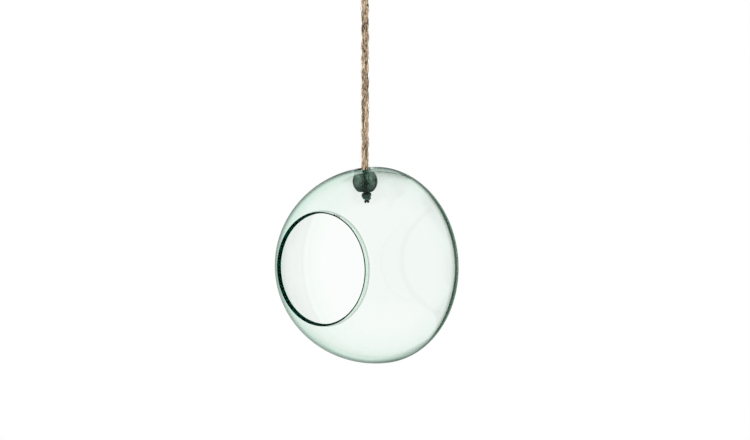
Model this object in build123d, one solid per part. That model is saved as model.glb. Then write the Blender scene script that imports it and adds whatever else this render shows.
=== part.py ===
from build123d import *
import math
import os

# Hanging propagation vase: a flat-backed glass bowl that lies on its side, with its mouth to the front.
# A jute rope goes through a hole at the top of the glass, and a wooden bead under the hole carries it.
# Frame: +Z up, the mouth faces -Y, and the rope hangs on the Z axis.
# The origin is the inside top of the hanging loop, where a hook bears.
# All lengths are millimetres.

# Glass bowl, a body turned about its own level axis
bowl_radius = 100.0            # outside, at the widest circle
dome_radius = 112.0            # arc of the dome, from the widest circle to the mouth
back_corner_radius = 12.0      # outside, between the widest circle and the flat back
wall = 5.0                     # dome and corner
back_wall = 13.0               # middle of the back, where blown glass gathers
mouth_radius = 54.5            # bored along the bowl's axis
mouth_edge_round = 0.5         # flame polish on both edges of the mouth
hole_radius = 7.8              # bored straight down for the rope
hole_edge_round = 0.8          # flame polish round the hole, outside
hole_offset = 18.0             # from the widest circle towards the mouth, above the centre of mass
seat_land = 0.3                # least depth of straight bore left between the bead's seat and the inside wall

# Turned wooden bead
bead_radius = 12.5
bead_height = 21.0             # between its flat ends
bead_bore_radius = 2.4
bead_edge_round = 0.7

# Jute rope with an eye at its top end
rope_radius = 4.0
rope_run = 180.0               # straight, from the bead to the splice
splice_length = 34.0
splice_swell = 2.4             # how far the tucked strands stand out, half way up the splice
splice_margin = 0.8            # strands round the two legs, at the splice's top
loop_height = 46.0             # from the splice to the inside top of the loop
loop_bend_radius = 16.0        # middle of the rope, round the hook
loop_leg_gap = 0.4             # between the two legs where they leave the splice
throat_length = 0.5            # straight, from the splice to where each leg starts to bend outwards
throat_bend_radius = 24.0      # middle of the rope, where the legs bend outwards

# Strand that carries the bead, with its knot
strand_radius = 1.8
knot_radius = 4.9
knot_height = 8.0
tail_length = 3.3
tail_end_radius = 2.7

# Clearances and the overrun of cuts
seat_clearance = 0.3           # bead to the ground seat in the glass
bead_end_clearance = 0.3       # bead to the rope above it and to the knot below it
cut_overrun = 5.0

# Heights, from the hook downwards
splice_top = -loop_height
splice_bottom = splice_top - splice_length
rope_bottom = splice_bottom - rope_run
bead_top = rope_bottom - bead_end_clearance
bead_centre = bead_top - bead_height / 2
bead_bottom = bead_top - bead_height
knot_top = bead_bottom - bead_end_clearance
knot_bottom = knot_top - knot_height
tail_bottom = knot_bottom - tail_length

# The bead's seat is a ball hollow about the bead's centre, so its gap stays even as the bowl tilts.
# It starts just above the inside of the wall where that is highest, behind the hole, so it goes all round.
dome_axis = bowl_radius - dome_radius
inner_dome_radius = dome_radius - wall
seat_radius = bead_radius + seat_clearance
seat_rise = math.sqrt(seat_radius ** 2 - hole_radius ** 2)
seat_height = dome_axis + math.sqrt(inner_dome_radius ** 2 - (hole_offset - hole_radius) ** 2)
bowl_centre = bead_centre + seat_rise - seat_land - seat_height


def dome_front(radius):
    """Distance from the widest circle to the mouth's edge, on a dome of this radius."""
    return math.sqrt(radius ** 2 - (mouth_radius - dome_axis) ** 2)


def dome_middle(radius):
    """A point half way along a dome of this radius."""
    half_angle = math.asin(dome_front(radius) / radius) / 2
    return (dome_axis + radius * math.cos(half_angle), -radius * math.sin(half_angle))


def corner_middle(radius):
    """A point half way round the back corner, on an arc of this radius."""
    corner_axis = bowl_radius - back_corner_radius
    return (corner_axis + radius * math.sqrt(1 / 2), radius * math.sqrt(1 / 2))


def make_bowl_section():
    """Half a section of the glass, X outwards and Y along the bowl's axis, with the back at positive Y."""
    flat_radius = bowl_radius - back_corner_radius
    inner_corner = back_corner_radius - wall
    back_inside = back_corner_radius - back_wall
    mouth_outside = (mouth_radius, -dome_front(dome_radius))
    mouth_inside = (mouth_radius, -dome_front(inner_dome_radius))
    # Inside, the back swells towards its middle on a large ball, which runs smoothly into the corner.
    swell_rise = inner_corner - back_inside
    swell_radius = (flat_radius ** 2 + back_inside ** 2 - inner_corner ** 2) / (2 * swell_rise)
    swell_centre = back_inside + swell_radius
    swell_angle = math.atan2(flat_radius, swell_centre)

    def swell_point(angle):
        return (swell_radius * math.sin(angle), swell_centre - swell_radius * math.cos(angle))

    with BuildSketch() as section:
        with BuildLine():
            ThreePointArc(mouth_outside, dome_middle(dome_radius), (bowl_radius, 0))
            ThreePointArc((bowl_radius, 0), corner_middle(back_corner_radius),
                          (flat_radius, back_corner_radius))
            Polyline((flat_radius, back_corner_radius), (0, back_corner_radius), (0, back_inside))
            ThreePointArc((0, back_inside), swell_point(swell_angle / 2), swell_point(swell_angle))
            ThreePointArc(swell_point(swell_angle), corner_middle(inner_corner), (bowl_radius - wall, 0))
            ThreePointArc((bowl_radius - wall, 0), dome_middle(inner_dome_radius), mouth_inside)
            Line(mouth_inside, mouth_outside)
        make_face()
    return section.sketch


def make_glass_bowl():
    """The section turned about the bowl's axis, with its bored mouth and the rope's hole."""
    with BuildPart() as bowl:
        add(make_bowl_section())
        revolve(axis=Axis.Y)
        bored_mouth = bowl.faces().filter_by(GeomType.CYLINDER)
        fillet(bored_mouth.edges().filter_by(GeomType.CIRCLE), mouth_edge_round)
        with Locations((0, -hole_offset, 0)):
            Cylinder(hole_radius, bowl_radius + cut_overrun, mode=Mode.SUBTRACT,
                     align=(Align.CENTER, Align.CENTER, Align.MIN))
        bored_hole = bowl.faces().filter_by(GeomType.CYLINDER).sort_by(Axis.Z)[-1]
        fillet(bored_hole.edges().sort_by(Axis.Z)[-1], hole_edge_round)
        with Locations((0, -hole_offset, bead_centre - bowl_centre)):
            Sphere(seat_radius, mode=Mode.SUBTRACT)
    return Pos(0, hole_offset, bowl_centre) * bowl.part


def make_bead():
    """A ball with flat ends, bored for the strand."""
    end_radius = math.sqrt(bead_radius ** 2 - (bead_height / 2) ** 2)
    with BuildPart() as bead:
        with BuildSketch(Plane.XZ):
            with BuildLine():
                ThreePointArc((end_radius, bead_top), (bead_radius, bead_centre), (end_radius, bead_bottom))
                Polyline((end_radius, bead_bottom), (bead_bore_radius, bead_bottom),
                         (bead_bore_radius, bead_top), (end_radius, bead_top))
            make_face()
        revolve(axis=Axis.Z)
        fillet(bead.edges().filter_by(GeomType.CIRCLE).filter_by(Plane.XY), bead_edge_round)
    return bead.part


def make_upright(radius, bottom, top):
    """A straight stretch of cord on the rope's axis."""
    return Pos(0, 0, bottom) * Cylinder(radius, top - bottom, align=(Align.CENTER, Align.CENTER, Align.MIN))


def make_eye_splice():
    """The rope swells over its tucked strands and widens to take both legs of the loop."""
    top_half_width = 2 * rope_radius + loop_leg_gap / 2 + splice_margin
    with BuildPart() as splice:
        with BuildSketch(Plane.XY.offset(splice_bottom)):
            Circle(rope_radius)
        with BuildSketch(Plane.XY.offset((splice_bottom + splice_top) / 2)):
            Circle(rope_radius + splice_swell)
        with BuildSketch(Plane.XY.offset(splice_top)):
            Ellipse(top_half_width, rope_radius + splice_margin)
        loft()
    return splice.part


def make_hanging_loop():
    """Two legs leave the splice side by side, bend outwards, and meet in one arc round the hook."""
    leg = rope_radius + loop_leg_gap / 2
    throat = splice_top + throat_length
    bend_centre = rope_radius - loop_bend_radius
    # Each leg's straight stretch touches its throat arc and the loop's arc, and so sets how far it turns.
    across = leg + throat_bend_radius
    rise = bend_centre - throat
    touch_angle = math.acos((throat_bend_radius + loop_bend_radius) / math.hypot(across, rise))
    turn = math.atan2(rise, across) - touch_angle

    def throat_point(angle):
        return (across - throat_bend_radius * math.cos(angle),
                throat + throat_bend_radius * math.sin(angle))

    def other_leg(point):
        return (-point[0], point[1])

    foot = (leg, splice_top)
    meet = (loop_bend_radius * math.cos(turn), bend_centre - loop_bend_radius * math.sin(turn))
    with BuildPart() as loop:
        with BuildLine(Plane.XZ) as route:
            Line(foot, throat_point(0))
            ThreePointArc(throat_point(0), throat_point(turn / 2), throat_point(turn))
            Line(throat_point(turn), meet)
            ThreePointArc(meet, (0, rope_radius), other_leg(meet))
            Line(other_leg(meet), other_leg(throat_point(turn)))
            ThreePointArc(other_leg(throat_point(turn)), other_leg(throat_point(turn / 2)),
                          other_leg(throat_point(0)))
            Line(other_leg(throat_point(0)), other_leg(foot))
        with BuildSketch(Plane.XY.offset(splice_top)):
            with Locations((leg, 0)):
                Circle(rope_radius)
        sweep(path=route.wires()[0])
    loop_length = route.wires()[0].length
    tube_volume = math.pi * rope_radius ** 2 * loop_length
    print("loop radii", throat_bend_radius, loop_bend_radius, throat_bend_radius)
    print("loop length", round(loop_length, 2), "volume / (section x length)", loop.part.volume / tube_volume)
    return loop.part


def make_stopper_knot():
    """The drawn-up knot, round, with the strand's short spread tail under it."""
    knot_middle = (knot_top + knot_bottom) / 2
    with BuildPart() as knot:
        with BuildSketch(Plane.XZ):
            with BuildLine():
                Line((0, knot_top), (strand_radius, knot_top))
                ThreePointArc((strand_radius, knot_top), (knot_radius, knot_middle),
                              (strand_radius, knot_bottom))
                Polyline((strand_radius, knot_bottom), (tail_end_radius, tail_bottom),
                         (0, tail_bottom), (0, knot_top))
            make_face()
        revolve(axis=Axis.Z)
    return knot.part


nodes = {
    "glass_bowl": make_glass_bowl(),
    "bead": make_bead(),
    "rope": make_upright(rope_radius, rope_bottom, splice_bottom),
    "eye_splice": make_eye_splice(),
    "hanging_loop": make_hanging_loop(),
    "tie_strand": make_upright(strand_radius, knot_top, rope_bottom),
    "stopper_knot": make_stopper_knot(),
}

os.makedirs("parts", exist_ok=True)
for name, solid in nodes.items():
    export_step(solid, f"parts/{name}.step")

glass_middle = nodes["glass_bowl"].center(CenterOf.MASS)
print("bowl centre z", round(bowl_centre, 3), "bead centre z", round(bead_centre, 3))
print("glass centre of mass y", round(glass_middle.Y, 3), "z", round(glass_middle.Z, 3))
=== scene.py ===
import math
import random

import bmesh
import bpy
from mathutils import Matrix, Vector, noise


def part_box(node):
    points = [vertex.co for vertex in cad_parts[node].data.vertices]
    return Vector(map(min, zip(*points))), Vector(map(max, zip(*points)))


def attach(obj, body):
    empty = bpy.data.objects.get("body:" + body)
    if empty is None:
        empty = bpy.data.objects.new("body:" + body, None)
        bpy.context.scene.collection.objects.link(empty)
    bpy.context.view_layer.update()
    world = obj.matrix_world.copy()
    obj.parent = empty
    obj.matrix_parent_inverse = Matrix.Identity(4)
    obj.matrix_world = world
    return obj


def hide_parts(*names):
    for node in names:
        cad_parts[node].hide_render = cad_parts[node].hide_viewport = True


# Hanging propagation vase: a pale green glass bowl on its side, hung on a jute rope by a bead and a knot.
# Metres, +Z up. The mouth faces -Y, the rope hangs on the Z axis and its hook would be at the origin.
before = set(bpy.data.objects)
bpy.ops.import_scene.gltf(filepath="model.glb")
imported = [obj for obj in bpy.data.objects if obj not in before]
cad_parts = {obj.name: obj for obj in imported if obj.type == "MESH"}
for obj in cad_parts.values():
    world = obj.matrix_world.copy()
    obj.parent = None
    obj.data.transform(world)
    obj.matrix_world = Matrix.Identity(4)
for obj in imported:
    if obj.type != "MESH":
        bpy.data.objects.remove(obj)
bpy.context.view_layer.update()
MM = 0.001

# Places from the frame
bowl_low, bowl_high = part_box("glass_bowl")
bead_low, bead_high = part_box("bead")
rope_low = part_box("rope")[0]
bowl_height = (bowl_low.z + bowl_high.z) / 2
bead_height = (bead_low.z + bead_high.z) / 2

# Glass bowl
BOWL_RADIUS = 100 * MM
DOME_RADIUS = 112 * MM
WALL = 5 * MM
BACK_CORNER = 12 * MM
BACK_WALL = 13 * MM
BACK_RINGS = (0.9, 0.5, 0)
MOUTH_RADIUS = 54.5 * MM
MOUTH_EDGE_ROUND = 0.5 * MM
HOLE_RADIUS = 7.8 * MM
HOLE_EDGE_ROUND = 0.8 * MM
HOLE_FLARE = math.radians(75)
HOLE_OFFSET = 18 * MM
SEAT_RADIUS = 12.8 * MM
CUTTER_RISE = 4 * MM
CUTTER_SPREAD = 0.4 * MM
GLASS_SHARP_ANGLE = math.radians(35)
SAME_PLACE = 0.001 * MM
SAME_HEIGHT = 0.01 * MM

# Tints of the glass. A span says where a tint starts and where it is full. Places are measured from the
# bowl's axis, or from the middle of its widest ring. Facing is 0 where a face is seen square on, 1 edge on.
RIM_SPAN = (62 * MM, 98 * MM)
RIM_GREEN = 0.25
DOME_SPAN = (6 * MM, -14 * MM)
DOME_GREEN = 0.17
GRAZING_FACING = (0.45, 0.85)
OUTLINE_START = 0.7
OUTLINE_FULL = 0.88
TOP_OUTLINE_FULL = 0.77
TOP_SLANT = -0.25
TOP_SPAN = (93 * MM, 97 * MM)
HOLE_CLEAR_SPAN = (10 * MM, 17 * MM)
CORNER_SPAN = (84 * MM, 92 * MM)
CORNER_FACING = (0.25, 0.44)
CORNER_DARK_START = -9 * MM
CORNER_DARK_FULL = -2 * MM
BOTTOM_SPAN = (-70 * MM, -92 * MM)
BOTTOM_DARK_START = -34 * MM

# Dark edge of the mouth: its width on the dome at the right and at the left, and how deep it goes in the bore
MOUTH_BAND = (1.15 * MM, 3.0 * MM)
MOUTH_BAND_SPAN = (30 * MM, -54 * MM)
MOUTH_BAND_SLANT = 0.3
MOUTH_LINE = 1.2 * MM
MOUTH_LINE_END = -70 * MM
MOUTH_ROUND_START = 0.04 * MM
BORE_DARK_DEPTH = 5.0 * MM
GLASS_IOR = 1.5
BAND_IOR = 1.02

# Bead
BEAD_RADIUS = 12.5 * MM
BEAD_BORE = 2.4 * MM
BEAD_EDGE_ROUND = 0.7 * MM
BORE_EDGE_ROUND = 0.4 * MM
BEAD_SHARP_ANGLE = math.radians(40)
# Broad bands, part growth rings and part painted sheen, turned to face the camera
GRAIN_AND_SHEEN_TURN = math.radians(-37.34)
RING_AND_SHEEN_WIDTH = 14 * MM
RING_AND_SHEEN_SHARE = 0.75
PORE_WIDTH = 1.25 * MM
PORE_LENGTH = 3.03 * MM
# Painted shade: the bead darkens downwards across this span of heights
LOW_SHADE_SPAN = (-11 * MM, 3 * MM)

# Rope
ROPE_DIAMETER = 8 * MM
ROPE_STEP = 0.9 * MM
ROPE_SEED = 11
STRANDS_IN_ROPE = 3
STRAND_OFFSET = 1.9 * MM
STRAND_PITCH = 45 * MM
YARNS_IN_STRAND = 7
YARN_RADIUS = 0.58 * MM
YARN_OFFSET = 1.36 * MM
YARN_PITCH = -30 * MM
YARN_TIP = 0.02 * MM
END_SPREAD = 0.32
END_SPREAD_LENGTH = 7 * MM
STREAK_WIDTH = 0.8 * MM
STREAK_LENGTH = 2 * MM
STREAK_SHARE = 1.3

# How uneven the yarns are: sizes, how fast each changes along the rope, and where each starts in the noise
WANDER_LENGTH = 9 * MM
WANDER_GAIN = 1.6
WANDER_ROW = 7.31
WANDER_LAYER = 0.5
STRAND_ROWS = 100
YARN_FULLNESS = 1.04
YARN_SWELL = 0.16
YARN_STRAY = 0.13 * MM
YARN_STRAY_RATE = 1.7
YARN_STRAY_ROWS = (40, 80)
YARN_TONES = (0.0, 0.45)
YARN_TONE_SWING = 0.3
YARN_TONE_RATE = 3.5
YARN_TONE_ROW = 120
ROPE_TONE_SWING = 0.12
ROPE_TONE_RATE = 0.6
ROPE_TONE_ROW = 900

# Tucked strands of the eye splice
TUCK_SEED = 23
TUCK_TOP = -51 * MM
TUCK_BOTTOM = -79 * MM
TUCK_OFFSET = 4 * MM
TUCK_PITCH = -38 * MM
TUCK_START = math.radians(150)
TUCK_SPACING = math.radians(100)
TUCK_STAGGER = 4
TUCK_DRAW_IN = 0.4
TUCK_DRAW_START = 0.7
TUCK_ROWS = 400

# Loose fibre ends
FIBRE_SEED = 31
FIBRE_COUNT = 420
FIBRE_LENGTH = (3 * MM, 8 * MM)
FIBRE_RADIUS = (0.06 * MM, 0.1 * MM)
FIBRE_SWEEP = (-0.5, 0.5)
FIBRE_RISE = (0.15, 0.5)
FIBRE_TONES = (0.1, 0.6)
FIBRE_ROOT = 0.42
FIBRE_DROOP = 0.3
FIBRE_STEPS = 4

# Tied strand
KNOT_SEED = 5
KNOT_STEP = 0.35 * MM
PLIES_IN_STRAND = 3
PLY_OFFSET = 0.85 * MM
PLY_RADIUS = 1.05 * MM
PLY_PITCH = 9 * MM
PLY_TONES = (0.25, 0.65)
TAIL_STEP = 0.3 * MM
TAIL_RADIUS = 1.3 * MM
TAIL_START = 0.65
TAIL_WIDENING = 0.45
# Painted shade: the tail's ends take a darker tone than the knot
TAIL_SHADE_TONE = -0.25

# Points of the rope's route in millimetres, X and Z: up from the bead, through the splice and round the eye.
ROPE_ROUTE = [
    (0, -260), (0, -212), (0, -128), (0, -84), (0, -74), (4.2, -56), (4.2, -40), (16, -15.7), (16, -5.4),
    (6.6, 4), (-6.6, 4), (-16, -5.4), (-16, -15.7), (-4.2, -40), (-4.2, -50), (-0.8, -61),
]

# Points of the tied strand in millimetres, from the rope's end through the bead and once round itself.
KNOT_ROUTE = [
    (0, 0, -259), (0, 0, -268), (0, 0, -276), (0.2, 0.1, -280.4), (0.2, 3.2, -282.8), (2.6, 4.2, -287),
    (4.0, 0.2, -288.4), (1.6, -3.2, -287.2), (-1.2, -2.4, -284.6), (-1.8, 2.6, -282.2), (1.4, 5, -282.4),
    (4.6, 2.2, -284.2), (4, -2, -286.2), (0, -1.8, -285.6), (0.4, 1, -288), (1, 0.8, -289.8),
]
TAIL_ROUTES = [
    [(1.2, 0.9, -288.8), (0.9, 0.7, -290), (-0.4, -0.2, -291.9)],
    [(1.2, 0.9, -288.8), (1.8, 1.3, -290), (3, 2.2, -291.9)],
]

# Camera at the photograph's viewing angle
CAMERA_DISTANCE = 2.0
CAMERA_AZIMUTH = math.radians(37.34)
CAMERA_ELEVATION = math.radians(2.93)
CAMERA_LENS = 94.25
AIM_ABOVE_BOWL = 45.9 * MM
AIM_LEFT_OF_BOWL = 0.94 * MM

# Studio. Counts of bounces are whole numbers, so half of one tells none from some.
SOME = 0.5
GUIDED_COUNTS = (1.5, 3.0)
CROSSED_COUNT = 2.5
GLASS_BOUNCES = 40
LIGHT_ABOVE = 0.8
LIGHT_BELOW = 0.25
LIGHT_HEIGHTS = (-0.7, 0.7)
DEEP_LEVEL = 1.0
CROSSED_LEVEL = 0.85
ROOM_LEVEL = 0.6
ROOM_LEAST = 0.06
FLOOR_DROP = 2.0
FLOOR_RADIUS = 2.0

# Screens of the room that the glass mirrors. Each has its direction, how flat it is, the cosines where it
# starts and where it is full, and what it adds to the room's level.
STUDIO_SCREENS = [
    ((-0.606, 0.795, -0.05), 1.0, 0.83, 0.95, -0.33),
    ((-0.655, 0.73, 0.143), 1.0, 0.95, 0.985, -0.2),
    ((0.35, 0.93, 0.0), 1.2, 0.78, 0.93, -0.32),
    ((0.62, 0.78, -0.05), 1.0, 0.965, 0.985, -0.25),
    ((0.3, 0.8, -0.53), 1.0, 0.92, 0.975, -0.5),
    ((0.34, 0.8, 0.5), 1.0, 0.92, 0.975, -0.5),
    ((-0.97, 0.1, 0.1), 1.0, 0.5, 0.9, 0.25),
    ((-0.43, 0.56, -0.71), 1.0, 0.93, 0.985, 0.25),
    ((-0.606, -0.795, -0.05), 1.0, 0.75, 0.9, 0.1),
    ((-0.42, 0.66, 0.62), 1.0, 0.978, 0.99, -0.55),
    ((-0.48, 0.53, 0.7), 1.0, 0.975, 0.993, -0.55),
    ((-0.37, 0.38, 0.85), 1.0, 0.975, 0.993, -0.55),
    ((-0.24, 0.2, 0.95), 1.0, 0.975, 0.993, -0.55),
    ((-0.08, 0.02, 1.0), 1.0, 0.965, 0.99, -0.55),
]


def colour(code):
    """An sRGB hex colour as linear red, green, blue and alpha."""
    channels = [int(code[i:i + 2], 16) / 255 for i in (0, 2, 4)]
    return (*[c / 12.92 if c <= 0.04045 else ((c + 0.055) / 1.055) ** 2.4 for c in channels], 1.0)


def add_node(tree, kind, inputs=(), **settings):
    """Adds a node with its settings. Each input is a value, or a socket to link from."""
    node = tree.nodes.new(kind)
    for name, value in settings.items():
        setattr(node, name, value)
    for key, value in dict(inputs).items():
        if isinstance(value, bpy.types.NodeSocket):
            tree.links.new(value, node.inputs[key])
        else:
            node.inputs[key].default_value = value
    return node


def new_material(name):
    """An empty node material with its output."""
    material = bpy.data.materials.new(name)
    material.use_nodes = True
    material.node_tree.nodes.clear()
    output = material.node_tree.nodes.new("ShaderNodeOutputMaterial")
    return material, material.node_tree, output


def make_green_glass():
    """Blown soda-lime glass, flame polished: clear, with a green that shows where light goes far in it, and
    painted shade along its outline, back corner and mouth.
    """
    material, tree, output = new_material("pale_green_glass")
    place = add_node(tree, "ShaderNodeTexCoord")
    centred = add_node(tree, "ShaderNodeMapping", {
        "Vector": place.outputs["Object"], "Location": (0, -HOLE_OFFSET, -bowl_height)})
    parts = add_node(tree, "ShaderNodeSeparateXYZ", {"Vector": centred.outputs["Vector"]})
    level = add_node(tree, "ShaderNodeCombineXYZ", {"X": parts.outputs["X"], "Z": parts.outputs["Z"]})
    from_axis = add_node(tree, "ShaderNodeVectorMath", {0: level.outputs["Vector"]}, operation="LENGTH")

    # The dome is a little greener than the middle of the back, and the rim of the back is greener again.
    to_rim = add_node(tree, "ShaderNodeMapRange", {
        "Value": from_axis.outputs["Value"], "From Min": RIM_SPAN[0], "From Max": RIM_SPAN[1],
        "To Max": RIM_GREEN}, interpolation_type="SMOOTHSTEP")
    in_dome = add_node(tree, "ShaderNodeMapRange", {
        "Value": parts.outputs["Y"], "From Min": DOME_SPAN[0], "From Max": DOME_SPAN[1]})
    by_place = add_node(tree, "ShaderNodeMix", {
        "Factor": in_dome.outputs["Result"], "A": to_rim.outputs["Result"], "B": DOME_GREEN})

    # Where the eye looks along the wall, and so through more of it, it is greener too.
    weight = add_node(tree, "ShaderNodeLayerWeight", {"Blend": 0.5})
    outside = add_node(tree, "ShaderNodeAttribute", attribute_name="outside")
    facing = add_node(tree, "ShaderNodeMath", {
        0: weight.outputs["Facing"], 1: outside.outputs["Fac"]}, operation="MULTIPLY")
    grazing = add_node(tree, "ShaderNodeMapRange", {
        "Value": facing.outputs["Value"], "From Min": GRAZING_FACING[0], "From Max": GRAZING_FACING[1]},
        interpolation_type="SMOOTHSTEP")
    green = add_node(tree, "ShaderNodeMath", {
        0: by_place.outputs["Result"], 1: grazing.outputs["Result"]}, operation="ADD", use_clamp=True)
    tone = add_node(tree, "ShaderNodeMix", {
        "Factor": green.outputs["Value"], "A": colour("FFFFFF"), "B": colour("E3FAEC")}, data_type="RGBA")

    # Painted shade: a thin darker line runs round the outline. It is darker along the top, and stops near the
    # rope's hole.
    to_top = add_node(tree, "ShaderNodeMath", {
        0: parts.outputs["X"], 1: TOP_SLANT, 2: parts.outputs["Z"]}, operation="MULTIPLY_ADD")
    at_top = add_node(tree, "ShaderNodeMapRange", {
        "Value": to_top.outputs["Value"], "From Min": TOP_SPAN[0], "From Max": TOP_SPAN[1]})
    full = add_node(tree, "ShaderNodeMapRange", {
        "Value": at_top.outputs["Result"], "To Min": OUTLINE_FULL, "To Max": TOP_OUTLINE_FULL})
    outline = add_node(tree, "ShaderNodeMapRange", {
        "Value": facing.outputs["Value"], "From Min": OUTLINE_START, "From Max": full.outputs["Result"]},
        interpolation_type="SMOOTHSTEP")
    hole_top = (0, -HOLE_OFFSET, dome_height(0, 0) - bowl_height)
    from_hole = add_node(tree, "ShaderNodeVectorMath", {
        0: centred.outputs["Vector"], 1: hole_top}, operation="DISTANCE")
    beside = add_node(tree, "ShaderNodeMapRange", {
        "Value": from_hole.outputs["Value"], "From Min": HOLE_CLEAR_SPAN[0], "From Max": HOLE_CLEAR_SPAN[1]})
    outline = add_node(tree, "ShaderNodeMath", {
        0: outline.outputs["Result"], 1: beside.outputs["Result"]}, operation="MULTIPLY")
    painted_line_tone = add_node(tree, "ShaderNodeMix", {
        "Factor": at_top.outputs["Result"], "A": colour("6F8F80"), "B": colour("3F5F51")},
        data_type="RGBA")
    edge = add_node(tree, "ShaderNodeMix", {
        "Factor": outline.outputs["Value"], "A": tone.outputs["Result"], "B": painted_line_tone.outputs["Result"]},
        data_type="RGBA")

    # Painted shade: the corner of the back is darker still, and along the bottom its dark fades out further
    # forward.
    on_corner = add_node(tree, "ShaderNodeMapRange", {
        "Value": from_axis.outputs["Value"], "From Min": CORNER_SPAN[0], "From Max": CORNER_SPAN[1]})
    forward = add_node(tree, "ShaderNodeMapRange", {
        "Value": parts.outputs["Z"], "From Min": BOTTOM_SPAN[0], "From Max": BOTTOM_SPAN[1],
        "To Min": CORNER_DARK_START, "To Max": BOTTOM_DARK_START})
    behind = add_node(tree, "ShaderNodeMapRange", {
        "Value": parts.outputs["Y"], "From Min": forward.outputs["Result"], "From Max": CORNER_DARK_FULL})
    corner = add_node(tree, "ShaderNodeMath", {
        0: on_corner.outputs["Result"], 1: behind.outputs["Result"]}, operation="MULTIPLY")
    corner_shade_line = add_node(tree, "ShaderNodeMapRange", {
        "Value": facing.outputs["Value"], "From Min": CORNER_FACING[0], "From Max": CORNER_FACING[1]})
    corner = add_node(tree, "ShaderNodeMath", {
        0: corner.outputs["Value"], 1: corner_shade_line.outputs["Result"]}, operation="MULTIPLY")
    edge = add_node(tree, "ShaderNodeMix", {
        "Factor": corner.outputs["Value"], "A": edge.outputs["Result"], "B": colour("36533F")},
        data_type="RGBA")

    # Painted shade: seen from outside, the bored face of the mouth and a band on the dome round it are nearly
    # black, and the band is broadest at the left. From within the glass the painted shade covers only the
    # rounded edges, as thin grey lines.
    face = add_node(tree, "ShaderNodeNewGeometry")
    round_mouth = add_node(tree, "ShaderNodeMath", {
        0: parts.outputs["Z"], 1: MOUTH_BAND_SLANT, 2: parts.outputs["X"]}, operation="MULTIPLY_ADD")
    band = add_node(tree, "ShaderNodeMapRange", {
        "Value": round_mouth.outputs["Value"],
        "From Min": MOUTH_BAND_SPAN[0], "From Max": MOUTH_BAND_SPAN[1],
        "To Min": MOUTH_RADIUS + MOUTH_BAND[0], "To Max": MOUTH_RADIUS + MOUTH_BAND[1]})
    reach = add_node(tree, "ShaderNodeMix", {
        "Factor": face.outputs["Backfacing"], "A": band.outputs["Result"], "B": MOUTH_RADIUS + MOUTH_LINE})
    near_bore = add_node(tree, "ShaderNodeMath", {
        0: from_axis.outputs["Value"], 1: reach.outputs["Result"]}, operation="LESS_THAN")
    mouth_front = -math.sqrt(DOME_RADIUS ** 2 - (MOUTH_RADIUS - BOWL_RADIUS + DOME_RADIUS) ** 2)
    depth = add_node(tree, "ShaderNodeMix", {
        "Factor": face.outputs["Backfacing"], "A": mouth_front + BORE_DARK_DEPTH, "B": MOUTH_LINE_END})
    in_front = add_node(tree, "ShaderNodeMath", {
        0: parts.outputs["Y"], 1: depth.outputs["Result"]}, operation="LESS_THAN")
    bore = add_node(tree, "ShaderNodeMath", {
        0: near_bore.outputs["Value"], 1: in_front.outputs["Value"]}, operation="MULTIPLY")
    on_round = add_node(tree, "ShaderNodeMath", {
        0: from_axis.outputs["Value"], 1: MOUTH_RADIUS + MOUTH_ROUND_START}, operation="GREATER_THAN")
    within = add_node(tree, "ShaderNodeMix", {
        "Factor": on_round.outputs["Value"], "A": colour("FFFFFF"), "B": colour("9CB0A6")},
        data_type="RGBA")
    bored = add_node(tree, "ShaderNodeMix", {
        "Factor": face.outputs["Backfacing"], "A": colour("000201"), "B": within.outputs["Result"]},
        data_type="RGBA")
    edge = add_node(tree, "ShaderNodeMix", {
        "Factor": bore.outputs["Value"], "A": edge.outputs["Result"], "B": bored.outputs["Result"]},
        data_type="RGBA")

    # The photograph shows nothing mirrored in that dark, so there the index comes close to that of air.
    dark = add_node(tree, "ShaderNodeMath", {
        0: bore.outputs["Value"], 1: face.outputs["Backfacing"]}, operation="SUBTRACT", use_clamp=True)
    bending = add_node(tree, "ShaderNodeMapRange", {
        "Value": dark.outputs["Value"], "To Min": GLASS_IOR, "To Max": BAND_IOR})
    glass = add_node(tree, "ShaderNodeBsdfPrincipled", {
        "Base Color": edge.outputs["Result"], "Roughness": 0.0, "IOR": bending.outputs["Result"],
        "Transmission Weight": 1.0})
    tint = add_node(tree, "ShaderNodeVolumeAbsorption", {"Color": colour("7CE7AA"), "Density": 0.6})
    tree.links.new(glass.outputs["BSDF"], output.inputs["Surface"])
    tree.links.new(tint.outputs["Volume"], output.inputs["Volume"])
    return material


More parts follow.
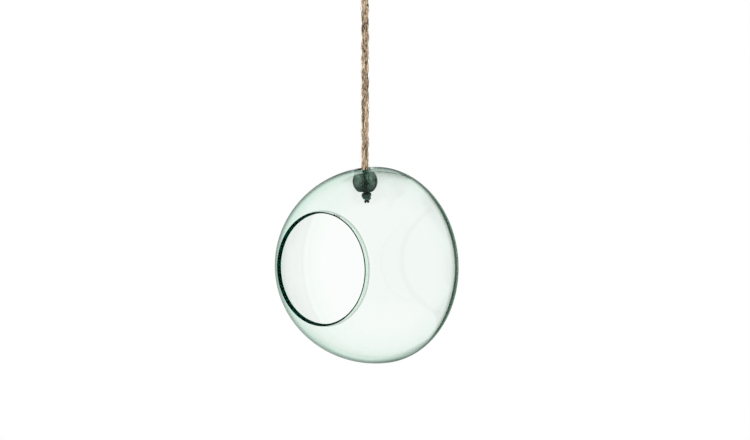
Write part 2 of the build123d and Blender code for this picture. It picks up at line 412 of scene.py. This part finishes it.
def make_stained_beech_painted_light():
    """Turned beech in dark green stain with mottled pores. Its broad bands are part growth-ring figure and
    part painted sheen, and painted shade makes it darker towards the lower end.
    """
    material, tree, output = new_material("stained_beech_painted_light")
    place = add_node(tree, "ShaderNodeTexCoord")
    turned = add_node(tree, "ShaderNodeMapping", {
        "Vector": place.outputs["Object"], "Location": (0, 0, -bead_height), "Rotation": (0, 0, GRAIN_AND_SHEEN_TURN)})
    # Painted sheen: the broad bands face the camera, so the bead's sides show lighter and its middle darker,
    # as under side lights.
    # The sine bands of a wave repeat every pi / 10 of its scaled coordinate.
    rings_and_sheen = add_node(tree, "ShaderNodeTexWave", {
        "Vector": turned.outputs["Vector"], "Scale": math.pi / 10 / RING_AND_SHEEN_WIDTH, "Distortion": 2.0,
        "Detail": 2.0, "Detail Scale": 3.0})
    # The pores are coarser than beech has, so that they show.
    along = add_node(tree, "ShaderNodeMapping", {
        "Vector": turned.outputs["Vector"], "Scale": (1 / PORE_WIDTH, 1 / PORE_WIDTH, 1 / PORE_LENGTH)})
    pores = add_node(tree, "ShaderNodeTexNoise", {
        "Vector": along.outputs["Vector"], "Scale": 1.0, "Detail": 3.0})
    mottled = add_node(tree, "ShaderNodeMapRange", {
        "Value": pores.outputs["Fac"], "From Min": 0.37, "From Max": 0.63, "To Min": -0.45, "To Max": 0.45})
    grain = add_node(tree, "ShaderNodeMath", {
        0: rings_and_sheen.outputs["Fac"], 1: RING_AND_SHEEN_SHARE, 2: mottled.outputs["Result"]}, operation="MULTIPLY_ADD")
    parts = add_node(tree, "ShaderNodeSeparateXYZ", {"Vector": turned.outputs["Vector"]})
    # Painted shade: the bead is darker towards its lower end.
    pale = add_node(tree, "ShaderNodeMapRange", {
        "Value": parts.outputs["Z"], "From Min": LOW_SHADE_SPAN[0], "From Max": LOW_SHADE_SPAN[1]})
    share = add_node(tree, "ShaderNodeMath", {
        0: grain.outputs["Value"], 1: pale.outputs["Result"]}, operation="MULTIPLY", use_clamp=True)
    tone = add_node(tree, "ShaderNodeMix", {
        "Factor": share.outputs["Value"], "A": colour("0C2E20"), "B": colour("C2E4D2")}, data_type="RGBA")
    relief = add_node(tree, "ShaderNodeBump", {
        "Height": pores.outputs["Fac"], "Strength": 0.3, "Distance": 0.1 * MM})
    wood = add_node(tree, "ShaderNodeBsdfPrincipled", {
        "Base Color": tone.outputs["Result"], "Roughness": 0.5, "Specular IOR Level": 0.15,
        "Normal": relief.outputs["Normal"]})
    tree.links.new(wood.outputs["BSDF"], output.inputs["Surface"])
    return material


def make_spun_fibre(name, dark, light, roughness):
    """Spun plant fibre: yarns that each have their own tone, with streaks along them, and a painted
    reflection colour, dark green, where the glass mirrors them.
    """
    material, tree, output = new_material(name)
    tone = add_node(tree, "ShaderNodeAttribute", attribute_name="tone")
    place = add_node(tree, "ShaderNodeTexCoord")
    # The streaks are coarser than the fibres, so that they show.
    stretch = add_node(tree, "ShaderNodeMapping", {
        "Vector": place.outputs["Object"],
        "Scale": (1 / STREAK_WIDTH, 1 / STREAK_WIDTH, 1 / STREAK_LENGTH)})
    streak = add_node(tree, "ShaderNodeTexNoise", {
        "Vector": stretch.outputs["Vector"], "Scale": 1.0, "Detail": 2.0})
    mixed = add_node(tree, "ShaderNodeMath", {
        0: streak.outputs["Fac"], 1: STREAK_SHARE, 2: tone.outputs["Fac"]}, operation="MULTIPLY_ADD")
    share = add_node(tree, "ShaderNodeMapRange", {
        "Value": mixed.outputs["Value"], "From Min": 0.5, "From Max": 1.3})
    shade = add_node(tree, "ShaderNodeMix", {
        "Factor": share.outputs["Result"], "A": colour(dark), "B": colour(light)}, data_type="RGBA")
    # Painted reflection: mirrored rays see this dark green base colour in place of the fibres' own.
    # Where the glass mirrors them, the fibres are dark green: the photograph shows no brown across the bead.
    path = add_node(tree, "ShaderNodeLightPath")
    mirrored = add_node(tree, "ShaderNodeMath", {
        0: path.outputs["Glossy Depth"], 1: SOME}, operation="GREATER_THAN")
    shade = add_node(tree, "ShaderNodeMix", {
        "Factor": mirrored.outputs["Value"], "A": shade.outputs["Result"], "B": colour("1F4636")},
        data_type="RGBA")
    fibre = add_node(tree, "ShaderNodeBsdfPrincipled", {
        "Base Color": shade.outputs["Result"], "Roughness": roughness})
    tree.links.new(fibre.outputs["BSDF"], output.inputs["Surface"])
    return material


def add_object(name, data):
    """A new object in the scene, at the origin."""
    thing = bpy.data.objects.new(name, data)
    bpy.context.scene.collection.objects.link(thing)
    return thing


def take_mesh(holder):
    """The mesh that an object's curve or modifiers give. The object itself goes."""
    mesh = bpy.data.meshes.new_from_object(holder.evaluated_get(bpy.context.evaluated_depsgraph_get()))
    bpy.data.objects.remove(holder)
    return mesh


def add_piece(name, mesh, body, material, slot, *nodes):
    """Puts a mesh in the scene on its body, in place of the CAD nodes that it stands for."""
    piece = add_object(name, mesh)
    mesh.materials.append(material)
    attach(piece, body)
    if nodes:
        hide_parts(*nodes)
    return piece


def draw_arc(bm, last, centre, axis, angle, steps):
    """Carries an outline's last point round an arc, and gives back its new last point."""
    drawn = bmesh.ops.spin(bm, geom=[last], cent=centre, axis=axis, angle=angle, steps=steps)
    return next(v for v in drawn["geom_last"] if isinstance(v, bmesh.types.BMVert))


def draw_line(bm, last, end):
    """Carries an outline's last point straight to a new one."""
    drawn = bmesh.ops.extrude_vert_indiv(bm, verts=[last])
    drawn["verts"][0].co = end
    return drawn["verts"][0]


def round_corner(bm, corner, tangent_length, steps):
    """Rounds a corner of an outline, starting this far from it on both sides."""
    bmesh.ops.bevel(bm, geom=[corner], offset=tangent_length, offset_type="OFFSET", affect="VERTICES",
                    segments=steps, profile=0.5, material=-1)


def turn_outline(bm, centre, axis, steps):
    """Turns an outline into a closed round body."""
    bmesh.ops.spin(bm, geom=bm.verts[:] + bm.edges[:], cent=centre, axis=axis, angle=2 * math.pi,
                   steps=steps, use_merge=True)
    bmesh.ops.remove_doubles(bm, verts=bm.verts[:], dist=SAME_PLACE)
    bmesh.ops.recalc_face_normals(bm, faces=bm.faces[:])


def finish_mesh(bm, name, sharp_angle):
    """A smooth mesh with hard edges only where it turns sharply."""
    mesh = bpy.data.meshes.new(name)
    bm.to_mesh(mesh)
    bm.free()
    mesh.shade_smooth()
    mesh.set_sharp_from_angle(angle=sharp_angle)
    return mesh


def dome_height(x, y):
    """Height of the dome's outer face above a place, near the rope's hole."""
    ring = BOWL_RADIUS - DOME_RADIUS + math.sqrt(DOME_RADIUS ** 2 - (y - HOLE_OFFSET) ** 2)
    return bowl_height + math.sqrt(ring ** 2 - x ** 2)


def turn_glass():
    """The bowl's wall, turned about its level axis from a half section."""
    dome_axis = BOWL_RADIUS - DOME_RADIUS
    inner_dome = DOME_RADIUS - WALL
    flat = BOWL_RADIUS - BACK_CORNER
    inner_corner = BACK_CORNER - WALL
    back_inside = BACK_CORNER - BACK_WALL
    swell = (flat ** 2 + back_inside ** 2 - inner_corner ** 2) / (2 * (inner_corner - back_inside))
    swell_centre = back_inside + swell
    swell_angle = math.atan2(flat, swell_centre)
    inner_span = math.acos((MOUTH_RADIUS - dome_axis) / inner_dome)
    outer_span = math.acos((MOUTH_RADIUS - dome_axis) / DOME_RADIUS)
    out = Vector((0, 0, 1))

    bm = bmesh.new()
    last = bm.verts.new((0, back_inside, 0))
    last = draw_arc(bm, last, (0, swell_centre, 0), out, swell_angle, steps=12)
    last = draw_arc(bm, last, (flat, 0, 0), out, -(math.pi / 2 + swell_angle), steps=20)
    last = draw_arc(bm, last, (dome_axis, 0, 0), out, -inner_span, steps=32)
    inner_edge = last
    last = draw_line(bm, last, (MOUTH_RADIUS, -DOME_RADIUS * math.sin(outer_span), 0))
    outer_edge = last
    last = draw_arc(bm, last, (dome_axis, 0, 0), out, outer_span, steps=36)
    last = draw_arc(bm, last, (flat, 0, 0), out, math.pi / 2, steps=24)
    for share in BACK_RINGS:
        last = draw_line(bm, last, (flat * share, BACK_CORNER, 0))
    # The mouth's two edges meet the dome at different angles, so one rounding starts at different places.
    round_corner(bm, inner_edge, MOUTH_EDGE_ROUND / math.tan((math.pi - inner_span) / 2), steps=6)
    round_corner(bm, outer_edge, MOUTH_EDGE_ROUND / math.tan(outer_span / 2), steps=8)
    turn_outline(bm, (0, 0, 0), (0, 1, 0), steps=320)
    bmesh.ops.translate(bm, verts=bm.verts[:], vec=(0, HOLE_OFFSET, bowl_height))
    return finish_mesh(bm, "bowl_wall", GLASS_SHARP_ANGLE)


def turn_hole_cutter():
    """What is cut from the glass at the top: the bead's ball seat, the bore and its flared upper edge."""
    top = dome_height(0, 0)
    flare_start = top - HOLE_EDGE_ROUND
    seat_angle = math.pi - math.asin(HOLE_RADIUS / SEAT_RADIUS)
    bm = bmesh.new()
    last = bm.verts.new((0, 0, bead_height - SEAT_RADIUS))
    last = draw_arc(bm, last, (0, 0, bead_height), (0, -1, 0), seat_angle, steps=48)
    last = draw_line(bm, last, (HOLE_RADIUS, 0, flare_start))
    flare_centre = (HOLE_RADIUS + HOLE_EDGE_ROUND, 0, flare_start)
    last = draw_arc(bm, last, flare_centre, (0, 1, 0), HOLE_FLARE, steps=8)
    last = draw_line(bm, last, last.co + Vector((CUTTER_SPREAD, 0, CUTTER_RISE)))
    last = draw_line(bm, last, (0, 0, last.co.z))
    turn_outline(bm, (0, 0, 0), (0, 0, 1), steps=96)
    # The flare follows the slope of the dome.
    for v in bm.verts:
        if v.co.z > flare_start - SAME_HEIGHT:
            v.co.z += dome_height(v.co.x, v.co.y) - top
    return finish_mesh(bm, "hole_cutter", GLASS_SHARP_ANGLE)


def is_outside(place):
    """Whether a point of the glass lies on its outer face, or less than a quarter of the wall under it."""
    across = math.hypot(place.x, place.z - bowl_height)
    along = place.y - HOLE_OFFSET
    flat = BOWL_RADIUS - BACK_CORNER
    if along < 0:
        depth = DOME_RADIUS - math.hypot(across - BOWL_RADIUS + DOME_RADIUS, along)
    elif across > flat:
        depth = BACK_CORNER - math.hypot(across - flat, along)
    else:
        depth = BACK_CORNER - along
    return depth < WALL / 4


def make_glass_bowl(material):
    """The turned wall with the rope's hole cut through it."""
    wall = add_object("bowl_wall", turn_glass())
    cutter = add_object("hole_cutter", turn_hole_cutter())
    cut = wall.modifiers.new("hole", "BOOLEAN")
    cut.operation = "DIFFERENCE"
    cut.solver = "EXACT"
    cut.object = cutter
    bored = take_mesh(wall)
    bpy.data.objects.remove(cutter)
    bored.shade_smooth()
    bored.set_sharp_from_angle(angle=GLASS_SHARP_ANGLE)
    outside = [float(is_outside(v.co)) for v in bored.vertices]
    bored.attributes.new("outside", "FLOAT", "POINT").data.foreach_set("value", outside)
    return add_piece("glass_bowl_wall", bored, "bowl", material, "green_glass", "glass_bowl")


def make_bead(material):
    """A ball with flat ends and a bore, its edges broken."""
    half = bead_high.z - bead_height
    end_radius = math.sqrt(BEAD_RADIUS ** 2 - half ** 2)
    side_angle = 2 * math.asin(half / BEAD_RADIUS)
    bm = bmesh.new()
    top_bore = bm.verts.new((BEAD_BORE, 0, bead_high.z))
    top_edge = draw_line(bm, top_bore, (end_radius, 0, bead_high.z))
    low_edge = draw_arc(bm, top_edge, (0, 0, bead_height), (0, 1, 0), side_angle, steps=32)
    low_bore = draw_line(bm, low_edge, (BEAD_BORE, 0, bead_low.z))
    bm.edges.new((low_bore, top_bore))
    for corner in (top_edge, low_edge):
        round_corner(bm, corner, BEAD_EDGE_ROUND, steps=4)
    for corner in (top_bore, low_bore):
        round_corner(bm, corner, BORE_EDGE_ROUND, steps=4)
    turn_outline(bm, (0, 0, 0), (0, 0, 1), steps=96)
    mesh = finish_mesh(bm, "wooden_bead", BEAD_SHARP_ANGLE)
    return add_piece("wooden_bead", mesh, "bead", material, "stained_wood", "bead")


def read_route(points, step):
    """Evenly spaced points on the smooth line that these control points pull."""
    curve = bpy.data.curves.new("route", "CURVE")
    curve.dimensions = "3D"
    curve.resolution_u = 48
    spline = curve.splines.new("NURBS")
    spline.points.add(len(points) - 1)
    for control, point in zip(spline.points, points):
        control.co = (*(c * MM for c in point), 1)
    spline.order_u = 3
    spline.use_endpoint_u = True
    drawn = [v.co.copy() for v in take_mesh(add_object("route", curve)).vertices]
    lengths = [0]
    for a, b in zip(drawn, drawn[1:]):
        lengths.append(lengths[-1] + (b - a).length)
    count = round(lengths[-1] / step)
    spaced = []
    at = 0
    for i in range(count + 1):
        target = lengths[-1] * i / count
        while at < len(drawn) - 2 and lengths[at + 1] < target:
            at += 1
        share = (target - lengths[at]) / (lengths[at + 1] - lengths[at])
        spaced.append(drawn[at].lerp(drawn[at + 1], share))
    return spaced


def wind(line, radius, pitch, phase):
    """A line wound round another, as a strand lies in a rope. A positive pitch rises to the right."""
    wound = []
    travelled = 0
    across = None
    for i, point in enumerate(line):
        ahead = (line[min(i + 1, len(line) - 1)] - line[max(i - 1, 0)]).normalized()
        across = ahead.orthogonal() if across is None else across - ahead * across.dot(ahead)
        across.normalize()
        if i:
            travelled += (point - line[i - 1]).length
        angle = phase + 2 * math.pi * travelled / pitch
        wound.append(point + (across * math.cos(angle) + ahead.cross(across) * math.sin(angle)) * radius)
    return wound


def wander(at, row):
    """A smooth random value from about -1 to 1 along a line. Each row of the noise gives another one."""
    return noise.noise(Vector((at, row * WANDER_ROW, WANDER_LAYER))) * WANDER_GAIN


def make_yarns(name, yarns, sides):
    """One mesh of round yarns. Each yarn is its line, its radii in millimetres and its tones along it."""
    curve = bpy.data.curves.new(name, "CURVE")
    curve.dimensions = "3D"
    curve.bevel_depth = MM
    # A round bevel has four sides, and two more for each step of its resolution.
    curve.bevel_resolution = (sides - 4) // 2
    for line, radii, _ in yarns:
        spline = curve.splines.new("POLY")
        spline.points.add(len(line) - 1)
        for point, place, radius in zip(spline.points, line, radii):
            point.co = (*place, 1)
            point.radius = radius
    mesh = take_mesh(add_object(name, curve))
    tones = [tone for _, _, along in yarns for tone in along for _ in range(sides)]
    mesh.attributes.new("tone", "FLOAT", "POINT").data.foreach_set("value", tones)
    mesh.shade_smooth()
    return mesh


def closed_ends(radii):
    """Draws a yarn's radius in at both ends, so that it ends closed."""
    return [YARN_TIP / MM, *radii[1:-1], YARN_TIP / MM]


def spin_strand(line, chance, first_row):
    """The yarns of one strand along its line, each a little uneven."""
    yarns = []
    for k in range(YARNS_IN_STRAND):
        own_tone = chance.uniform(*YARN_TONES)
        row = first_row + k
        yarn = wind(line, YARN_OFFSET, YARN_PITCH, 2 * math.pi * k / YARNS_IN_STRAND)
        radii = []
        tones = []
        for i, point in enumerate(yarn):
            at = i * ROPE_STEP / WANDER_LENGTH
            radii.append(YARN_RADIUS / MM * (YARN_FULLNESS + YARN_SWELL * wander(at, row)))
            stray_x, stray_y = [wander(at * YARN_STRAY_RATE, row + other) for other in YARN_STRAY_ROWS]
            point += Vector((stray_x, stray_y, 0)) * YARN_STRAY
            yarn_swing = YARN_TONE_SWING * wander(at * YARN_TONE_RATE, row + YARN_TONE_ROW)
            rope_swing = ROPE_TONE_SWING * wander(at * ROPE_TONE_RATE, ROPE_TONE_ROW)
            tones.append(own_tone + yarn_swing + rope_swing)
        yarns.append((yarn, closed_ends(radii), tones))
    return yarns


def make_rope(material, route):
    """Three strands laid to the right, each of seven yarns."""
    chance = random.Random(ROPE_SEED)
    yarns = []
    for k in range(STRANDS_IN_ROPE):
        strand = wind(route, STRAND_OFFSET, STRAND_PITCH, 2 * math.pi * k / STRANDS_IN_ROPE)
        yarns += spin_strand(strand, chance, STRAND_ROWS * k)
    # The rope's end is pressed down on the bead and spreads there.
    for line, _, _ in yarns:
        for point in line:
            share = max(0, 1 - (point.z - rope_low.z) / END_SPREAD_LENGTH)
            point.xy *= 1 + END_SPREAD * share ** 2
    mesh = make_yarns("laid_rope", yarns, sides=6)
    return add_piece("laid_rope", mesh, "rope", material, "jute", "rope", "hanging_loop")


def make_tied_strand(material):
    """The dark strand through the bead, its overhand knot and the two short ends of its tail."""
    chance = random.Random(KNOT_SEED)
    line = read_route(KNOT_ROUTE, KNOT_STEP)
    yarns = []
    for k in range(PLIES_IN_STRAND):
        ply = wind(line, PLY_OFFSET, PLY_PITCH, 2 * math.pi * k / PLIES_IN_STRAND)
        radii = closed_ends([PLY_RADIUS / MM] * len(ply))
        yarns.append((ply, radii, [chance.uniform(*PLY_TONES)] * len(ply)))
    for route in TAIL_ROUTES:
        end = read_route(route, TAIL_STEP)
        radii = [TAIL_RADIUS / MM * (TAIL_START + TAIL_WIDENING * i / len(end)) for i in range(len(end))]
        yarns.append((end, closed_ends(radii), [TAIL_SHADE_TONE] * len(end)))
    mesh = make_yarns("tied_strand", yarns, sides=8)
    return add_piece("tied_strand", mesh, "rope", material, "dark_strand", "tie_strand", "stopper_knot")


def make_splice_tucks(material, route):
    """The three strands of the eye's end, tucked round the rope against its lay, each drawn in at its end."""
    chance = random.Random(TUCK_SEED)
    crest = route.index(max(route, key=lambda point: point.z))
    stretch = [point for point in route[:crest] if TUCK_BOTTOM < point.z < TUCK_TOP]
    stretch.reverse()
    yarns = []
    for k in range(STRANDS_IN_ROPE):
        core = stretch[TUCK_STAGGER * k:]
        tuck = wind(core, TUCK_OFFSET, TUCK_PITCH, TUCK_START + TUCK_SPACING * k)
        for i, (point, middle) in enumerate(zip(tuck, core)):
            drawn_in = max(0, i / (len(core) - 1) - TUCK_DRAW_START) / (1 - TUCK_DRAW_START)
            point += (middle - point) * TUCK_DRAW_IN * drawn_in
        yarns += spin_strand(tuck, chance, TUCK_ROWS + STRAND_ROWS * k)
    mesh = make_yarns("splice_tucks", yarns, sides=6)
    return add_piece("splice_tucks", mesh, "rope", material, "jute", "eye_splice")


def make_rope_fibres(material, route):
    """Loose fibre ends that stand out of the lay, drawn thicker than jute fibre, so that they show."""
    chance = random.Random(FIBRE_SEED)
    hairs = []
    for _ in range(FIBRE_COUNT):
        at = chance.randrange(2, len(route) - 3)
        ahead = (route[at + 1] - route[at - 1]).normalized() * chance.choice((-1, 1))
        side = ahead.orthogonal().normalized()
        angle = chance.uniform(0, 2 * math.pi)
        out = side * math.cos(angle) + ahead.cross(side) * math.sin(angle)
        sweep = ahead.cross(out) * chance.uniform(*FIBRE_SWEEP)
        length = chance.uniform(*FIBRE_LENGTH)
        rise = chance.uniform(*FIBRE_RISE)
        start = route[at] + out * ROPE_DIAMETER * FIBRE_ROOT
        line = []
        for step in range(FIBRE_STEPS + 1):
            share = step / FIBRE_STEPS
            along = length * share
            lift = rise * along * (1 - FIBRE_DROOP * share)
            line.append(start + ahead * along + out * lift + sweep * along)
        radii = [chance.uniform(*FIBRE_RADIUS) / MM] * FIBRE_STEPS + [YARN_TIP / MM]
        hairs.append((line, radii, [chance.uniform(*FIBRE_TONES)] * len(line)))
    mesh = make_yarns("rope_fibres", hairs, sides=4)
    return add_piece("rope_fibres", mesh, "rope", material, "jute")


def set_camera():
    """The photograph's view: a long lens, a little above the bowl and from its mouth's right."""
    level = math.cos(CAMERA_ELEVATION)
    sideways = Vector((math.cos(CAMERA_AZIMUTH), math.sin(CAMERA_AZIMUTH), 0))
    away = Vector((sideways.y * level, -sideways.x * level, math.sin(CAMERA_ELEVATION)))
    widest = Vector((0, HOLE_OFFSET, bowl_height))
    camera = add_object("camera", bpy.data.cameras.new("camera"))
    camera.location = widest + away * CAMERA_DISTANCE
    aim = widest + Vector((0, 0, AIM_ABOVE_BOWL)) - sideways * AIM_LEFT_OF_BOWL - camera.location
    camera.rotation_euler = aim.to_track_quat("-Z", "Y").to_euler()
    camera.data.lens = CAMERA_LENS
    bpy.context.scene.camera = camera


def set_world():
    """A white studio. Straight through the glass the eye sees white, and its edges mirror a dimmer room."""
    world = bpy.data.worlds.new("studio")
    bpy.context.scene.world = world
    world.use_nodes = True
    tree = world.node_tree
    tree.nodes.clear()
    path = add_node(tree, "ShaderNodeLightPath")
    place = add_node(tree, "ShaderNodeTexCoord")

    # A ray that has met no matt surface either goes past or through the glass, or has been mirrored in it.
    unlit = add_node(tree, "ShaderNodeMath", {
        0: path.outputs["Diffuse Depth"], 1: SOME}, operation="LESS_THAN")
    seen = add_node(tree, "ShaderNodeMath", {
        0: path.outputs["Is Camera Ray"], 1: path.outputs["Is Transmission Ray"]}, operation="MAXIMUM")
    past = add_node(tree, "ShaderNodeMath", {
        0: seen.outputs["Value"], 1: unlit.outputs["Value"]}, operation="MULTIPLY")
    mirrored = add_node(tree, "ShaderNodeMath", {
        0: path.outputs["Glossy Depth"], 1: SOME}, operation="GREATER_THAN")
    mirrored = add_node(tree, "ShaderNodeMath", {
        0: mirrored.outputs["Value"], 1: unlit.outputs["Value"]}, operation="MULTIPLY")

    # The room that is mirrored is the sum of its screens.
    level = ROOM_LEVEL
    for towards, flatness, start, full, gain in STUDIO_SCREENS:
        flat = add_node(tree, "ShaderNodeVectorMath", {
            0: place.outputs["Generated"], 1: (1, 1, flatness)}, operation="MULTIPLY")
        flat = add_node(tree, "ShaderNodeVectorMath", {0: flat.outputs["Vector"]}, operation="NORMALIZE")
        along = add_node(tree, "ShaderNodeVectorMath", {
            0: flat.outputs["Vector"], 1: Vector(towards).normalized()}, operation="DOT_PRODUCT")
        share = add_node(tree, "ShaderNodeMapRange", {
            "Value": along.outputs["Value"], "From Min": start, "From Max": full, "To Max": gain},
            interpolation_type="SMOOTHSTEP")
        level = add_node(tree, "ShaderNodeMath", {
            0: share.outputs["Result"], 1: level}, operation="ADD").outputs["Value"]
    level = add_node(tree, "ShaderNodeMath", {0: level, 1: ROOM_LEAST}, operation="MAXIMUM").outputs["Value"]
    room = add_node(tree, "ShaderNodeBackground", {"Color": colour("EDFFF7"), "Strength": level})

    # A ray that the wall has guided, or that has crossed the bowl, sees an even bright room instead.
    guided = add_node(tree, "ShaderNodeMapRange", {
        "Value": path.outputs["Glossy Depth"], "From Min": GUIDED_COUNTS[0], "From Max": GUIDED_COUNTS[1]})
    crossed = add_node(tree, "ShaderNodeMath", {
        0: path.outputs["Transmission Depth"], 1: CROSSED_COUNT}, operation="GREATER_THAN")
    guided = add_node(tree, "ShaderNodeMath", {
        0: guided.outputs["Result"], 1: crossed.outputs["Value"]}, operation="MAXIMUM")
    crossing = add_node(tree, "ShaderNodeMapRange", {
        "Value": crossed.outputs["Value"], "To Min": DEEP_LEVEL, "To Max": CROSSED_LEVEL})
    deep = add_node(tree, "ShaderNodeBackground", {
        "Color": colour("FAFFFC"), "Strength": crossing.outputs["Result"]})
    room = add_node(tree, "ShaderNodeMixShader", {
        0: guided.outputs["Value"], 1: room.outputs["Background"], 2: deep.outputs["Background"]})

    # Matt surfaces are lit mostly from above, and what looks past them sees white.
    height = add_node(tree, "ShaderNodeSeparateXYZ", {"Vector": place.outputs["Generated"]})
    above = add_node(tree, "ShaderNodeMapRange", {
        "Value": height.outputs["Z"], "From Min": LIGHT_HEIGHTS[0], "From Max": LIGHT_HEIGHTS[1],
        "To Min": LIGHT_BELOW, "To Max": LIGHT_ABOVE})
    plain = add_node(tree, "ShaderNodeBackground", {
        "Color": colour("FFFFFF"), "Strength": above.outputs["Result"]})
    white = add_node(tree, "ShaderNodeBackground", {"Color": colour("FFFFFF"), "Strength": 1.0})
    far = add_node(tree, "ShaderNodeMixShader", {
        0: past.outputs["Value"], 1: plain.outputs["Background"], 2: white.outputs["Background"]})
    both = add_node(tree, "ShaderNodeMixShader", {
        0: mirrored.outputs["Value"], 1: far.outputs["Shader"], 2: room.outputs["Shader"]})
    output = tree.nodes.new("ShaderNodeOutputWorld")
    tree.links.new(both.outputs["Shader"], output.inputs["Surface"])


def set_bounces():
    """Light goes many times from face to face inside a glass wall before it leaves it."""
    cycles = bpy.context.scene.cycles
    cycles.max_bounces = GLASS_BOUNCES
    cycles.glossy_bounces = GLASS_BOUNCES
    cycles.transmission_bounces = GLASS_BOUNCES


def add_lamp(name, place, size, power):
    """A soft square lamp that faces the bowl. The glass doesn't show it."""
    lamp = add_object(name, bpy.data.lights.new(name, "AREA"))
    lamp.data.shape = "SQUARE"
    lamp.data.size = size
    lamp.data.energy = power
    lamp.visible_glossy = False
    lamp.visible_transmission = False
    lamp.location = place
    towards = Vector((0, 0, bowl_height)) - Vector(place)
    lamp.rotation_euler = towards.to_track_quat("-Z", "Y").to_euler()


def make_floor():
    """A pale matt floor two metres under the hook, with a painted reflection tone: a little darker where the
    glass mirrors it.
    """
    material, tree, output = new_material("pale_floor")
    path = add_node(tree, "ShaderNodeLightPath")
    mirrored = add_node(tree, "ShaderNodeMath", {
        0: path.outputs["Glossy Depth"], 1: SOME}, operation="GREATER_THAN")
    tone = add_node(tree, "ShaderNodeMix", {
        "Factor": mirrored.outputs["Value"], "A": colour("F4F4F2"), "B": colour("DCE4E0")},
        data_type="RGBA")
    paint = add_node(tree, "ShaderNodeBsdfPrincipled", {
        "Base Color": tone.outputs["Result"], "Roughness": 0.9})
    tree.links.new(paint.outputs["BSDF"], output.inputs["Surface"])
    bm = bmesh.new()
    bmesh.ops.create_circle(bm, cap_ends=True, segments=96, radius=FLOOR_RADIUS)
    bmesh.ops.translate(bm, verts=bm.verts[:], vec=(0, 0, -FLOOR_DROP))
    mesh = bpy.data.meshes.new("pale_floor")
    bm.to_mesh(mesh)
    bm.free()
    mesh.materials.append(material)
    add_object("pale_floor", mesh)


bpy.context.scene.view_settings.view_transform = "Standard"
set_camera()
set_world()
set_bounces()
add_lamp("left_lamp", place=(-1.5, -1.2, 0.3), size=1.2, power=30)
add_lamp("right_lamp", place=(1.6, -0.2, 0.3), size=1.0, power=14)
make_floor()

make_glass_bowl(make_green_glass())
make_bead(make_stained_beech_painted_light())
rope_route = read_route([(x, 0, z) for x, z in ROPE_ROUTE], ROPE_STEP)
# Jute is matt, and its yarns go from dark brown to straw.
jute = make_spun_fibre("spun_jute", "4A3220", "F2DABA", roughness=0.9)
rope = make_rope(jute, rope_route)
tucks = make_splice_tucks(jute, rope_route)
fibres = make_rope_fibres(jute, rope_route)
# The strand is taken to be waxed cotton: dark green, and smoother than the jute.
knot = make_tied_strand(make_spun_fibre("waxed_cotton", "12281E", "587C6C", roughness=0.5))
